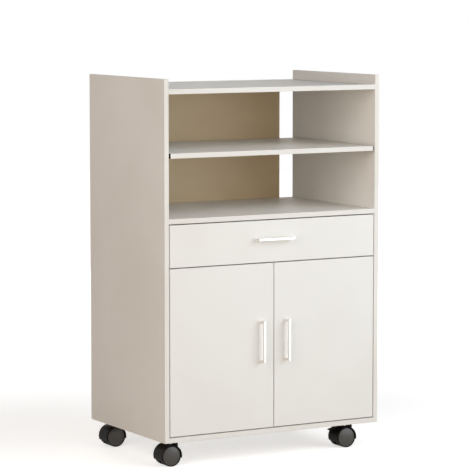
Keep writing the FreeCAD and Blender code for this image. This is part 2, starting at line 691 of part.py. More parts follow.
def caster_hood(locking):
    """Hood over both wheels, web between them, neck round the kingpin, ears when it locks."""
    shell = arc_shell(hood_outer, hood_inner, -hood_half, hood_half, hood_front_drop, hood_rear_drop)
    web = arc_shell(hood_outer - web_inset, 0, -web_half, web_half, hood_front_drop, hood_rear_drop)
    neck = rod(V(trail, 0, 0), V(trail, 0, plate_under - neck_play - axle_z), neck_radius)
    clear = rod(V(0, -hood_half, 0), V(0, hood_half, 0), hood_inner)
    neck = neck.cut(clear.cut(box(-hood_outer, hood_outer, -web_half, web_half, -hood_outer, hood_outer)))
    hood = shell.fuse([web, neck])
    if locking:
        for s in (-1, 1):
            y0 = s * (pedal_half + pedal_ear_gap)
            y1 = y0 + s * pedal_ear_thick
            ear = rod(V(pedal_pivot_x, y0, pedal_pivot_z), V(pedal_pivot_x, y1, pedal_pivot_z),
                      pedal_ear_radius)
            lo, hi = sorted((y0, y1))
            stem = box(pedal_pivot_x - pedal_ear_radius, pedal_pivot_x + pedal_ear_radius, lo, hi,
                       pedal_pivot_z - pedal_stem, pedal_pivot_z)
            stem = stem.cut(rod(V(0, lo - eps, 0), V(0, hi + eps, 0), hood_inner + stem_inset))
            hood = hood.fuse([ear, stem])
        window = shoe_block(web_half, hood_outer + window_reach, -pedal_half - shoe_play,
                            pedal_half + shoe_play, window_spread_deg)
        hood = hood.cut(window)
        rib = shoe_block(rib_start, hood_inner - web_inset, -web_half, web_half, rib_spread_deg)
        hood = hood.fuse(rib)
        hood = hood.cut(rod(V(pedal_pivot_x, -hood_half, pedal_pivot_z),
                            V(pedal_pivot_x, hood_half, pedal_pivot_z), pedal_pin_radius + spin_play))
        sweep = rod(V(pedal_pivot_x, -pedal_half - pedal_ear_gap, pedal_pivot_z),
                    V(pedal_pivot_x, pedal_half + pedal_ear_gap, pedal_pivot_z),
                    pedal_boss_radius + pedal_ear_gap)
        hood = hood.cut(sweep)
    hood = hood.cut(rod(V(0, -hood_half, 0), V(0, hood_half, 0), axle_radius))
    bore_end = kingpin_end - axle_z - neck_play
    hood = hood.cut(rod(V(trail, 0, bore_end), V(trail, 0, plate_under - axle_z + eps),
                        kingpin_radius + spin_play))
    return hood.removeSplitter()


def caster_plate(x, y):
    shape = box(x - plate_size / 2, x + plate_size / 2, y - plate_size / 2, y + plate_size / 2,
                plate_under, base)
    shape = softened(shape, lambda c: near(c.z, base - plate_thick / 2.0), plate_corner)
    for sx in (-1, 1):
        for sy in (-1, 1):
            at = V(x + sx * plate_hole_offset, y + sy * plate_hole_offset, plate_under)
            shape = pierced(shape, at, V(0, 0, 1), plate_thick, screw_radius + plate_hole_play)
            wood_screw("carcass_screws", "bottom_panel", at, V(0, 0, 1), plate_thick)
    pin = rod(V(x, y, kingpin_end), V(x, y, base - kingpin_top_inset), kingpin_radius)
    return shape.fuse(pin).removeSplitter()


kingpin_x = half - kingpin_inset_x
corners = (("front_left", -kingpin_x, front + kingpin_inset_y, False),
           ("front_right", kingpin_x, front + kingpin_inset_y, True),
           ("rear_left", -kingpin_x, back - kingpin_inset_y, False),
           ("rear_right", kingpin_x, back - kingpin_inset_y, True))
for name, x, y, locking in corners:
    place = (x - trail, y, axle_z)
    add_to("caster_plates", caster_plate(x, y))
    add_to(name + "_caster_hood", shifted(caster_hood(locking), *place))
    add_to(name + "_caster_axle", shifted(rod(V(0, -axle_half, 0), V(0, axle_half, 0), axle_radius),
                                          *place))
    add_to(name + "_front_wheel", shifted(caster_wheel(-1), *place))
    add_to(name + "_rear_wheel", shifted(caster_wheel(1), *place))
    if locking:
        add_to(name + "_brake_pedal", shifted(brake_pedal(), *place))


# ---- one file for each named piece or group of identical pieces
os.makedirs("parts", exist_ok=True)
for name, shape in boards.items():
    tools = cutters.get(name, [])
    done = shape.cut(tools) if tools else shape
    done = done.Solids[0] if len(done.Solids) == 1 else done
    done.exportStep("parts/" + name + ".step")
    print(name, len(done.Solids), "solid", round(done.Volume / 1000.0, 2), "cm3", done.isValid())
for name, solids in hardware.items():
    flat = [s for shape in solids for s in shape.Solids]
    group = flat[0] if len(flat) == 1 else Part.makeCompound(flat)
    group.exportStep("parts/" + name + ".step")
    print(name, len(flat), "solids", round(group.Volume / 1000.0, 2), "cm3", group.isValid())
print(len(boards) + len(hardware), "nodes; reach", round(front - handle_reach, 2), round(back, 2))
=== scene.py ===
import json
import math

import bmesh
import bpy
import numpy as np
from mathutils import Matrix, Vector


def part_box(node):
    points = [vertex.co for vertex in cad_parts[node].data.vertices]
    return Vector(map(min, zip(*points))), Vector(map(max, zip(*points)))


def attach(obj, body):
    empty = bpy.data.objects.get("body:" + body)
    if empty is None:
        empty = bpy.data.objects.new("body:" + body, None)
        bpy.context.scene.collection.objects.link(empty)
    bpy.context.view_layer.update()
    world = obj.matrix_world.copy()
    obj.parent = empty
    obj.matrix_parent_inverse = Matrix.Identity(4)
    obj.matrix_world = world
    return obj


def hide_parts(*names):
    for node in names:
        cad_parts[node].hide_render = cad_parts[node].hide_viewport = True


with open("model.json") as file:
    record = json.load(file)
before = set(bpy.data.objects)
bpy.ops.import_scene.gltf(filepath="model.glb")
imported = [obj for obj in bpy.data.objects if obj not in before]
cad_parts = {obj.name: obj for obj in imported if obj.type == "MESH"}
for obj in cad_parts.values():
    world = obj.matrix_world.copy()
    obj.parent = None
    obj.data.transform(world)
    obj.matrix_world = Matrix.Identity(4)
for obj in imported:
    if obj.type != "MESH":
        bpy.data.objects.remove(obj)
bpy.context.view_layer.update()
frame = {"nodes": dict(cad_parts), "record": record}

# Kitchen microwave cart. Metres, X right, Y to the rear, Z up, floor at Z = 0.

nodes = frame["nodes"]
print("frame loaded:", len(nodes), "nodes")


# small helpers for node trees, of materials and of geometry alike

treeLayout = {"columns": 12, "wide": 180, "high": 220}   # spacing of the nodes in the editor


def srgb(r, g, b):  # 0-255 screen values to scene linear
    def lin(v):
        v /= 255.0
        return v / 12.92 if v <= 0.04045 else ((v + 0.055) / 1.055) ** 2.4
    return (lin(r), lin(g), lin(b), 1.0)


def feed(tree, node, values):  # links a socket, sets a plain value
    count = len(tree.nodes)
    node.location = (treeLayout["wide"] * (count % treeLayout["columns"]),
                     -treeLayout["high"] * (count // treeLayout["columns"]))
    for name, value in (values or {}).items():
        if isinstance(value, bpy.types.NodeSocket):
            tree.links.new(value, node.inputs[name])
        else:
            node.inputs[name].default_value = value


def put(tree, kind, values=None, **settings):
    node = tree.nodes.new(kind)
    for name, value in settings.items():
        setattr(node, name, value)
    feed(tree, node, values)
    return node


def useGroup(tree, group, values=None):
    node = tree.nodes.new("ShaderNodeGroup")
    node.node_tree = group
    feed(tree, node, values)
    return node.outputs


def calc(tree, operation, a, b=0.0, c=0.0):
    return put(tree, "ShaderNodeMath", {0: a, 1: b, 2: c}, operation=operation).outputs[0]


def blendColour(tree, factor, a, b):
    return put(tree, "ShaderNodeMix", {0: factor, 6: a, 7: b}, data_type="RGBA").outputs[2]


def between(tree, value, start, end, low=0.0, high=1.0):  # smooth step from start to end
    node = put(tree, "ShaderNodeMapRange",
               {"Value": value, "From Min": start, "From Max": end, "To Min": low, "To Max": high},
               interpolation_type="SMOOTHSTEP")
    return node.outputs["Result"]


def noise(tree, coords, scale, detail=2.0, distortion=0.0):
    return put(tree, "ShaderNodeTexNoise", {"Vector": coords, "Scale": scale, "Detail": detail,
                                            "Distortion": distortion}).outputs["Fac"]


def objectCoords(tree):
    return put(tree, "ShaderNodeTexCoord").outputs["Object"]


def scaled(tree, coords, scale):
    return put(tree, "ShaderNodeMapping", {"Vector": coords, "Scale": scale}).outputs["Vector"]


def facing(tree):
    return put(tree, "ShaderNodeNewGeometry").outputs["Normal"]


def split(tree, vector):  # its X, Y and Z
    return put(tree, "ShaderNodeSeparateXYZ", {"Vector": vector}).outputs


def combine(tree, x=0.0, y=0.0, z=0.0):
    return put(tree, "ShaderNodeCombineXYZ", {"X": x, "Y": y, "Z": z}).outputs[0]


socketKinds = {"colour": "NodeSocketColor", "value": "NodeSocketFloat", "vector": "NodeSocketVector"}


def newGroup(name, inputs, outputs):
    tree = bpy.data.node_groups.new(name, "ShaderNodeTree")
    for label, (kind, default) in inputs.items():
        socket = tree.interface.new_socket(label, in_out="INPUT", socket_type=socketKinds[kind])
        socket.default_value = default
    for label, kind in outputs.items():
        tree.interface.new_socket(label, in_out="OUTPUT", socket_type=socketKinds[kind])
    return tree, tree.nodes.new("NodeGroupInput").outputs, tree.nodes.new("NodeGroupOutput").inputs


def give(tree, outputs, **results):
    for name, socket in results.items():
        tree.links.new(socket, outputs[name])


# Shared effects, each built once. A noise is (scale, detail, distortion), the last only where
# there is any. A range is (start, end), or (start, end, low, high) where the result isn't 0 to 1.

edgeLook = {"samples": 4, "bend": (0.985, 0.80)}   # cosine between the true and the rounded normal


def buildSoftEdge():  # rounded look on sharp edges, and a mask of them
    tree, given, out = newGroup("softEdge", {"Radius": ("value", 0.0005)},
                                {"Normal": "vector", "Edge": "value"})
    rounded = put(tree, "ShaderNodeBevel", {"Radius": given["Radius"]}, samples=edgeLook["samples"])
    normal = rounded.outputs["Normal"]
    dot = put(tree, "ShaderNodeVectorMath", {0: normal, 1: facing(tree)}, operation="DOT_PRODUCT")
    give(tree, out, Normal=normal, Edge=between(tree, dot.outputs["Value"], *edgeLook["bend"]))
    return tree


foilLook = {
    "cloud": (3.2, 4.0, 0.4), "cloudRange": (0.35, 0.72),
    "pearlShare": 0.45, "pearlDetail": 2.0,
    "peel": (160.0, 1.0), "peelShare": 0.55,
    "marks": (11.0, 5.0, 0.8), "markRange": (0.52, 0.70), "markRough": 0.07,
}


def buildFoilSkin():  # pressed foil on a board: faint mottling, fine pearl, handling marks
    tree, given, out = newGroup("foilSkin", {
        "Colour": ("colour", (0.8, 0.8, 0.8, 1)), "Mottle": ("colour", (0.75, 0.75, 0.75, 1)),
        "Pearl Scale": ("value", 900.0), "Roughness": ("value", 0.4)},
        {"Colour": "colour", "Roughness": "value", "Height": "value"})
    coords = objectCoords(tree)
    cloud = between(tree, noise(tree, coords, *foilLook["cloud"]), *foilLook["cloudRange"])
    pearl = noise(tree, coords, given["Pearl Scale"], foilLook["pearlDetail"])
    peel = noise(tree, coords, *foilLook["peel"])
    marks = between(tree, noise(tree, coords, *foilLook["marks"]), *foilLook["markRange"])
    height = calc(tree, "MULTIPLY_ADD", peel, foilLook["peelShare"],
                  calc(tree, "MULTIPLY", pearl, foilLook["pearlShare"]))
    give(tree, out, Colour=blendColour(tree, cloud, given["Colour"], given["Mottle"]), Height=height,
         Roughness=calc(tree, "MULTIPLY_ADD", marks, foilLook["markRough"], given["Roughness"]))
    return tree


chipLook = {
    "squash": (1.0, 1.0, 0.45), "gapRange": (0.50, 0.85),
    "pale": srgb(214, 188, 148), "dark": srgb(178, 144, 102), "gap": srgb(122, 92, 60),
}


def buildChipCore():  # sawn particle board: pressed flakes with dark gaps
    tree, given, out = newGroup("chipCore", {"Scale": ("value", 620.0)},
                                {"Colour": "colour", "Height": "value"})
    flat = scaled(tree, objectCoords(tree), chipLook["squash"])
    cells = put(tree, "ShaderNodeTexVoronoi", {"Vector": flat, "Scale": given["Scale"]}).outputs
    tone = put(tree, "ShaderNodeSeparateColor", {"Color": cells["Color"]}).outputs[0]
    flakes = blendColour(tree, tone, chipLook["pale"], chipLook["dark"])
    gaps = between(tree, cells["Distance"], *chipLook["gapRange"])
    give(tree, out, Colour=blendColour(tree, gaps, flakes, chipLook["gap"]),
         Height=calc(tree, "SUBTRACT", tone, gaps))
    return tree


dustLook = {
    "film": (28.0, 6.0, 0.5), "filmRange": (0.38, 0.78), "filmShare": 0.6,
    "specks": (950.0, 1.0), "speckRange": (0.60, 0.74), "speckShare": 0.5,
    "upRange": (0.55, 0.95),
}


def buildSettledDust():  # thin dust on faces that look up
    tree, given, out = newGroup("settledDust", {"Amount": ("value", 0.2)}, {"Mask": "value"})
    coords = objectCoords(tree)
    film = between(tree, noise(tree, coords, *dustLook["film"]), *dustLook["filmRange"])
    specks = between(tree, noise(tree, coords, *dustLook["specks"]), *dustLook["speckRange"])
    both = calc(tree, "MULTIPLY_ADD", specks, dustLook["speckShare"],
                calc(tree, "MULTIPLY", film, dustLook["filmShare"]))
    up = between(tree, split(tree, facing(tree))["Z"], *dustLook["upRange"])
    give(tree, out, Mask=calc(tree, "MULTIPLY", calc(tree, "MULTIPLY", both, up), given["Amount"]))
    return tree


mouldLook = {
    "flow": (60.0, 3.0, 1.5), "flowRange": (0.45, 0.85, 0.0, 0.35), "flowRough": 0.10,
    "wear": (240.0, 3.0), "wearRange": (0.40, 0.66), "grainDetail": 2.0,
}


def buildMouldedSkin():  # spark-eroded mould texture with faint flow marks
    tree, given, out = newGroup("mouldedSkin", {
        "Colour": ("colour", (0.02, 0.02, 0.02, 1)), "Worn": ("colour", (0.06, 0.06, 0.06, 1)),
        "Edge": ("value", 0.0), "Roughness": ("value", 0.45), "Grain": ("value", 2200.0)},
        {"Colour": "colour", "Roughness": "value", "Height": "value"})
    coords = objectCoords(tree)
    flow = noise(tree, coords, *mouldLook["flow"])
    toned = blendColour(tree, between(tree, flow, *mouldLook["flowRange"]), given["Colour"], given["Worn"])
    rubbed = between(tree, noise(tree, coords, *mouldLook["wear"]), *mouldLook["wearRange"])
    worn = calc(tree, "MULTIPLY", given["Edge"], rubbed)
    give(tree, out, Colour=blendColour(tree, worn, toned, given["Worn"]),
         Roughness=calc(tree, "MULTIPLY_ADD", flow, mouldLook["flowRough"], given["Roughness"]),
         Height=noise(tree, coords, given["Grain"], mouldLook["grainDetail"]))
    return tree


drawnLook = {
    "streaks": (1.0, 3.0), "streakRough": 0.16,
    "patches": (70.0, 4.0, 0.7), "patchRange": (0.45, 0.75), "patchRough": 0.10,
}


def buildDrawnMetal():  # rolled or drawn metal: streaks along one axis, dull patches
    tree, given, out = newGroup("drawnMetal", {
        "Colour": ("colour", (0.6, 0.6, 0.6, 1)), "Dull": ("colour", (0.4, 0.4, 0.4, 1)),
        "Stretch": ("vector", (1400.0, 30.0, 1400.0)), "Roughness": ("value", 0.3)},
        {"Colour": "colour", "Roughness": "value", "Height": "value"})
    coords = objectCoords(tree)
    along = put(tree, "ShaderNodeVectorMath", {0: coords, 1: given["Stretch"]}, operation="MULTIPLY")
    streaks = noise(tree, along.outputs[0], *drawnLook["streaks"])
    patches = between(tree, noise(tree, coords, *drawnLook["patches"]), *drawnLook["patchRange"])
    rough = calc(tree, "MULTIPLY_ADD", streaks, drawnLook["streakRough"], given["Roughness"])
    rough = calc(tree, "MULTIPLY_ADD", patches, drawnLook["patchRough"], rough)
    give(tree, out, Colour=blendColour(tree, patches, given["Colour"], given["Dull"]), Roughness=rough,
         Height=streaks)
    return tree


softEdge = buildSoftEdge()
foilSkin = buildFoilSkin()
chipCore = buildChipCore()
settledDust = buildSettledDust()
mouldedSkin = buildMouldedSkin()
drawnMetal = buildDrawnMetal()
print("shared effects built")


def newMaterial(name, specular=0.5, metallic=0.0):
    material = bpy.data.materials.new(name)
    material.use_nodes = True
    tree = material.node_tree
    shader = tree.nodes["Principled BSDF"]
    shader.inputs["Specular IOR Level"].default_value = specular
    shader.inputs["Metallic"].default_value = metallic
    return material, tree, shader


def finishSurface(tree, shader, colour, roughness, height, depth, normal, strength=0.5):
    bump = put(tree, "ShaderNodeBump", {"Height": height, "Distance": depth, "Strength": strength,
                                        "Normal": normal})
    tree.links.new(colour, shader.inputs["Base Color"])
    tree.links.new(roughness, shader.inputs["Roughness"])
    tree.links.new(bump.outputs["Normal"], shader.inputs["Normal"])


# boards

boards = {
    "foil": (srgb(240, 238, 234), srgb(234, 231, 226)),   # colour and mottling
    "front": (srgb(240, 239, 236), srgb(236, 234, 230)),
    "drawer": (srgb(236, 234, 229), srgb(226, 223, 216)),
    "edgeRadius": 0.0006, "pearlScale": 1100.0, "bumpDepth": 0.00003, "bumpStrength": 0.35,
    "frontPlane": -0.187, "bandThickness": 0.0010,   # edge banding seen from the side
    "glueLine": (0.00022, 0.00008, 0.0, 0.75),
    "wear": (90.0, 4.0), "wearRange": (0.52, 0.72, 0.0, 0.35),
    "seam": srgb(196, 186, 170), "dust": srgb(196, 188, 176), "dustRough": 0.4,
    "sawnFacing": (0.6, 0.8), "sawnFrom": (0.1955, 0.1965),   # bare rear edges lie behind this
    "sawnRough": 0.4, "sawnBump": 3.0,
    "endFrom": 0.0006, "endTo": 0.0002,   # short of the loose shelf's end
    # painted shade: a near-black band on the loose shelf's bare ends stands in for the shaded gap between
    # the shelf and the side panels
    "paintedEndShade": srgb(34, 31, 28),
}


def boardMaterial(name, skinColours, roughness, specular, dust, sawn=False, shelfEnd=0.0):
    material, tree, shader = newMaterial(name, specular)
    edge = useGroup(tree, softEdge, {"Radius": boards["edgeRadius"]})
    skin = useGroup(tree, foilSkin, {"Colour": skinColours[0], "Mottle": skinColours[1],
                                     "Pearl Scale": boards["pearlScale"], "Roughness": roughness})
    coords = objectCoords(tree)
    place = split(tree, coords)
    finalColour, height = skin["Colour"], skin["Height"]
    if sawn:  # glue line where the edge banding ends
        gap = calc(tree, "SUBTRACT", place["Y"], boards["frontPlane"] + boards["bandThickness"])
        line = between(tree, calc(tree, "ABSOLUTE", gap), *boards["glueLine"])
        finalColour = blendColour(tree, line, finalColour, boards["seam"])
    rubbed = between(tree, noise(tree, coords, *boards["wear"]), *boards["wearRange"])
    worn = calc(tree, "MULTIPLY", edge["Edge"], rubbed)
    finalColour = blendColour(tree, worn, finalColour, boards["seam"])
    film = useGroup(tree, settledDust, {"Amount": dust})["Mask"]
    finalColour = blendColour(tree, film, finalColour, boards["dust"])
    rough = calc(tree, "MULTIPLY_ADD", film, boards["dustRough"], skin["Roughness"])
    if sawn:  # rear edges without banding
        core = useGroup(tree, chipCore)
        bareColourAndEndShade = core["Colour"]
        way = split(tree, facing(tree))
        bare = calc(tree, "MULTIPLY", between(tree, way["Y"], *boards["sawnFacing"]),
                    between(tree, place["Y"], *boards["sawnFrom"]))
        # painted shade on the loose shelf's ends: the bare core there is coloured near black in place of
        # the shaded gap beside the shelf
        if shelfEnd:  # dark band on both ends
            sideways = between(tree, calc(tree, "ABSOLUTE", way["X"]), *boards["sawnFacing"])
            reach = between(tree, calc(tree, "ABSOLUTE", place["X"]),
                            shelfEnd - boards["endFrom"], shelfEnd - boards["endTo"])
            shadedEnds = calc(tree, "MULTIPLY", sideways, reach)
            bareColourAndEndShade = blendColour(tree, shadedEnds, bareColourAndEndShade, boards["paintedEndShade"])
            bare = calc(tree, "MAXIMUM", bare, shadedEnds)
        finalColour = blendColour(tree, bare, finalColour, bareColourAndEndShade)
        rough = calc(tree, "MULTIPLY_ADD", bare, boards["sawnRough"], rough)
        height = calc(tree, "MULTIPLY_ADD", calc(tree, "MULTIPLY", core["Height"], bare),
                      boards["sawnBump"], height)
    finishSurface(tree, shader, finalColour, rough, height, boards["bumpDepth"], edge["Normal"],
                  boards["bumpStrength"])
    return material


backing = {
    "edgeRadius": 0.0003, "pearlScale": 700.0, "roughness": 0.52, "specular": 0.3,
    "bumpDepth": 0.00004,
    # painted shade: the inner face is tinted beige so that the white board reads as the warm shade seen in
    # the bays; the bare rear face is the hardboard's own colour
    "shadeTintedFace": srgb(234, 212, 176), "shadeTintedMottle": srgb(226, 202, 163),   # the face to the inside
    "hardboard": srgb(176, 140, 100), "hardboardDark": srgb(150, 114, 78),   # the bare rear face
    "squash": (1.0, 1.0, 0.6), "pulp": (520.0, 5.0, 2.0), "pulpRange": (0.35, 0.70),
    "bareFrom": (0.2011, 0.2014), "bareRough": 0.25, "pulpBump": 2.0,
}


def backBoardMaterial():
    material, tree, shader = newMaterial("backBoardShadeTinted", backing["specular"])
    edge = useGroup(tree, softEdge, {"Radius": backing["edgeRadius"]})
    # the inner face colours carry painted warm shade
    skin = useGroup(tree, foilSkin, {"Colour": backing["shadeTintedFace"], "Mottle": backing["shadeTintedMottle"],
                                     "Pearl Scale": backing["pearlScale"],
                                     "Roughness": backing["roughness"]})
    coords = objectCoords(tree)
    pulp = noise(tree, scaled(tree, coords, backing["squash"]), *backing["pulp"])
    bare = blendColour(tree, between(tree, pulp, *backing["pulpRange"]), backing["hardboard"],
                       backing["hardboardDark"])
    isBare = between(tree, split(tree, coords)["Y"], *backing["bareFrom"])
    rough = calc(tree, "MULTIPLY_ADD", isBare, backing["bareRough"], skin["Roughness"])
    height = calc(tree, "MULTIPLY_ADD", calc(tree, "MULTIPLY", pulp, isBare), backing["pulpBump"],
                  skin["Height"])
    finishSurface(tree, shader, blendColour(tree, isBare, skin["Colour"], bare), rough, height,
                  backing["bumpDepth"], edge["Normal"])
    return material


whiteBoard = boardMaterial("whiteBoardFoil", boards["foil"], roughness=0.58, specular=0.16, dust=0.16,
                           sawn=True)
looseShelf = boardMaterial("looseShelfFoil", boards["foil"], roughness=0.58, specular=0.16, dust=0.16,
                           sawn=True, shelfEnd=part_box("adjustable_shelf")[1].x)
whiteFront = boardMaterial("whiteFrontFoil", boards["front"], roughness=0.42, specular=0.32, dust=0.10)
drawerBoard = boardMaterial("drawerFoil", boards["drawer"], roughness=0.52, specular=0.28, dust=0.18)
backBoard = backBoardMaterial()
print("board materials built")


# coated and bare metal, plastics, wood

coatLook = {
    "cloud": (24.0, 3.0, 0.5), "cloudRange": (0.40, 0.75),
    "wear": (420.0, 3.0), "wearRange": (0.55, 0.72, 0.0, 0.3), "rubbed": srgb(176, 174, 170),
    "sheen": (75.0, 3.0), "sheenRough": 0.12,
    "peel": (1500.0, 1.0), "bumpDepth": 0.00003, "bumpStrength": 0.4,
}


def coatedMaterial(name, colour, shaded, roughness, radius, metallic=0.0):
    material, tree, shader = newMaterial(name, metallic=metallic)
    edge = useGroup(tree, softEdge, {"Radius": radius})
    coords = objectCoords(tree)
    cloud = between(tree, noise(tree, coords, *coatLook["cloud"]), *coatLook["cloudRange"])
    wear = between(tree, noise(tree, coords, *coatLook["wear"]), *coatLook["wearRange"])
    finalColour = blendColour(tree, cloud, colour, shaded)
    finalColour = blendColour(tree, calc(tree, "MULTIPLY", edge["Edge"], wear), finalColour,
                              coatLook["rubbed"])
    rough = calc(tree, "MULTIPLY_ADD", noise(tree, coords, *coatLook["sheen"]), coatLook["sheenRough"],
                 roughness)
    finishSurface(tree, shader, finalColour, rough, noise(tree, coords, *coatLook["peel"]),
                  coatLook["bumpDepth"], edge["Normal"], coatLook["bumpStrength"])
    return material


metalLook = {"edgeRadius": 0.0003, "bumpDepth": 0.00001, "bumpStrength": 0.3}


def metalMaterial(name, colour, dull, stretch, roughness):
    material, tree, shader = newMaterial(name, metallic=1.0)
    edge = useGroup(tree, softEdge, {"Radius": metalLook["edgeRadius"]})
    skin = useGroup(tree, drawnMetal, {"Colour": colour, "Dull": dull, "Stretch": stretch,
                                       "Roughness": roughness})
    finishSurface(tree, shader, skin["Colour"], skin["Roughness"], skin["Height"],
                  metalLook["bumpDepth"], edge["Normal"], metalLook["bumpStrength"])
    return material


plasticLook = {
    "edgeRadius": 0.0005, "dust": srgb(120, 114, 106), "bumpDepth": 0.00004, "bumpStrength": 0.35,
}


def plasticMaterial(name, colour, worn, roughness, specular, grain, dust=0.0):
    material, tree, shader = newMaterial(name, specular)
    edge = useGroup(tree, softEdge, {"Radius": plasticLook["edgeRadius"]})
    skin = useGroup(tree, mouldedSkin, {"Colour": colour, "Worn": worn, "Edge": edge["Edge"],
                                        "Roughness": roughness, "Grain": grain})
    film = useGroup(tree, settledDust, {"Amount": dust})["Mask"]
    finishSurface(tree, shader, blendColour(tree, film, skin["Colour"], plasticLook["dust"]),
                  skin["Roughness"], skin["Height"], plasticLook["bumpDepth"], edge["Normal"],
                  plasticLook["bumpStrength"])
    return material


dowelLook = {
    "edgeRadius": 0.0004, "specular": 0.3, "stretch": (60.0, 1100.0, 1100.0),
    "fibre": (1.0, 4.0, 0.6), "fibreRange": (0.35, 0.7), "roughRange": (0.3, 0.7, 0.55, 0.75),
    "pale": srgb(214, 182, 138), "dark": srgb(176, 138, 92), "bumpDepth": 0.00005,
}


def dowelMaterial():
    material, tree, shader = newMaterial("beechDowel", dowelLook["specular"])
    edge = useGroup(tree, softEdge, {"Radius": dowelLook["edgeRadius"]})
    fibre = noise(tree, scaled(tree, objectCoords(tree), dowelLook["stretch"]), *dowelLook["fibre"])
    finalColour = blendColour(tree, between(tree, fibre, *dowelLook["fibreRange"]), dowelLook["pale"],
                              dowelLook["dark"])
    finishSurface(tree, shader, finalColour, between(tree, fibre, *dowelLook["roughRange"]), fibre,
                  dowelLook["bumpDepth"], edge["Normal"])
    return material


handleCoat = coatedMaterial("satinHandleCoat", srgb(236, 234, 230), srgb(230, 228, 223),
                            roughness=0.30, radius=0.0004, metallic=0.5)
runnerCoat = coatedMaterial("whiteRunnerCoat", srgb(228, 227, 222), srgb(216, 214, 208),
                            roughness=0.38, radius=0.0003)
platedSteel = metalMaterial("platedSteel", srgb(196, 196, 194), srgb(168, 168, 166),
                            stretch=(900.0, 900.0, 900.0), roughness=0.28)
hingeSteel = metalMaterial("hingeNickel", srgb(206, 204, 200), srgb(180, 178, 172),
                           stretch=(40.0, 1500.0, 1500.0), roughness=0.24)
camZinc = metalMaterial("camZinc", srgb(178, 178, 180), srgb(146, 146, 148),
                        stretch=(600.0, 600.0, 600.0), roughness=0.42)
casterSteel = metalMaterial("casterPlateZinc", srgb(178, 178, 176), srgb(150, 150, 148),
                            stretch=(30.0, 1100.0, 1100.0), roughness=0.32)
axleSteel = metalMaterial("axleSteel", srgb(186, 186, 184), srgb(150, 150, 148),
                          stretch=(1500.0, 40.0, 1500.0), roughness=0.22)
rollerNylon = plasticMaterial("rollerNylon", srgb(226, 223, 214), srgb(204, 200, 190),
                              roughness=0.40, specular=0.45, grain=1500.0)
hoodPlastic = plasticMaterial("blackHood", srgb(17, 15, 14), srgb(38, 34, 31),
                              roughness=0.38, specular=0.07, grain=2200.0, dust=0.05)
tyrePlastic = plasticMaterial("blackTyre", srgb(18, 17, 16), srgb(40, 38, 36),
                              roughness=0.48, specular=0.07, grain=1700.0, dust=0.05)
discPlastic = plasticMaterial("satinDisc", srgb(62, 58, 54), srgb(76, 72, 67),
                              roughness=0.28, specular=0.44, grain=2600.0)
beechDowel = dowelMaterial()

bySlot = {
    "white_board": whiteBoard, "white_front": whiteFront, "white_drawer_board": drawerBoard,
    "back_board": backBoard, "white_handle": handleCoat, "white_runner": runnerCoat,
    "roller_plastic": rollerNylon, "plated_steel": platedSteel, "hinge_steel": hingeSteel,
    "cam_zinc": camZinc, "dowel_wood": beechDowel, "caster_steel": casterSteel,
    "black_plastic": hoodPlastic, "caster_axle_steel": axleSteel, "black_wheel": tyrePlastic,
}
slotOf = {entry["node"]: entry["material_slot"] for entry in frame["record"]["subparts"]}
for name, piece in nodes.items():
    finish = looseShelf if name == "adjustable_shelf" else bySlot[slotOf[name]]
    if not piece.material_slots:
        piece.data.materials.append(finish)
    for place in piece.material_slots:
        place.material = finish
print("materials on every carried-over node")


# turned wheels with domed satin discs

wheels = {
    "discRadius": 0.0234,
    "discBulge": 0.0010,   # centre stands proud of the tyre's face
    "discSink": 0.0018,    # rim lies below it
    "discRound": 0.0007,
    "grooveSlope": 0.0001,   # how far the wall of the groove round the disc leans out
    "treadRound": 0.0010,
    "wall": 0.0050, "hollowShare": 0.5,   # tyre wall, and how deep the inside is hollow
    "hubRadius": 0.0070, "boreRadius": 0.00305, "boreShare": 0.90,
    "steps": 96, "domeSteps": 12, "rimSteps": 4, "treadSteps": 5,
    "sharpFrom": math.radians(35),
}


def quarter(steps, first=0):  # sine and cosine over a quarter turn
    turns = [math.radians(90.0 * i / steps) for i in range(first, steps + 1)]
    return [(math.sin(turn), math.cos(turn)) for turn in turns]


def wheelProfile(radius, width):  # (radius, distance in from the outer face), and the steps of the disc
    w = wheels
    rim = w["discRadius"] - w["discRound"]
    dome = w["discBulge"] + w["discSink"]
    profile = [(0.0, -w["discBulge"])]
    for i in range(1, w["domeSteps"] + 1):
        share = i / w["domeSteps"]
        profile.append((rim * share, dome * share ** 2 - w["discBulge"]))
    profile += [(rim + w["discRound"] * s, w["discSink"] + w["discRound"] * (1.0 - c))
                for s, c in quarter(w["rimSteps"], first=1)]
    discSteps = len(profile) - 1
    start, tread = radius - w["treadRound"], w["treadRound"]
    profile.append((start - w["grooveSlope"], w["discSink"] + w["discRound"]))
    profile += [(start + tread * s, tread * (1.0 - c)) for s, c in quarter(w["treadSteps"])]
    profile += [(start + tread * c, width - tread * (1.0 - s)) for s, c in quarter(w["treadSteps"])]
    inside = width * (1.0 - w["hollowShare"])
    blind = width * (1 - w["boreShare"])
    profile += [(radius - w["wall"], width), (radius - w["wall"], inside), (w["hubRadius"], inside),
                (w["hubRadius"], width), (w["boreRadius"], width), (w["boreRadius"], blind), (0.0, blind)]
    return profile, discSteps


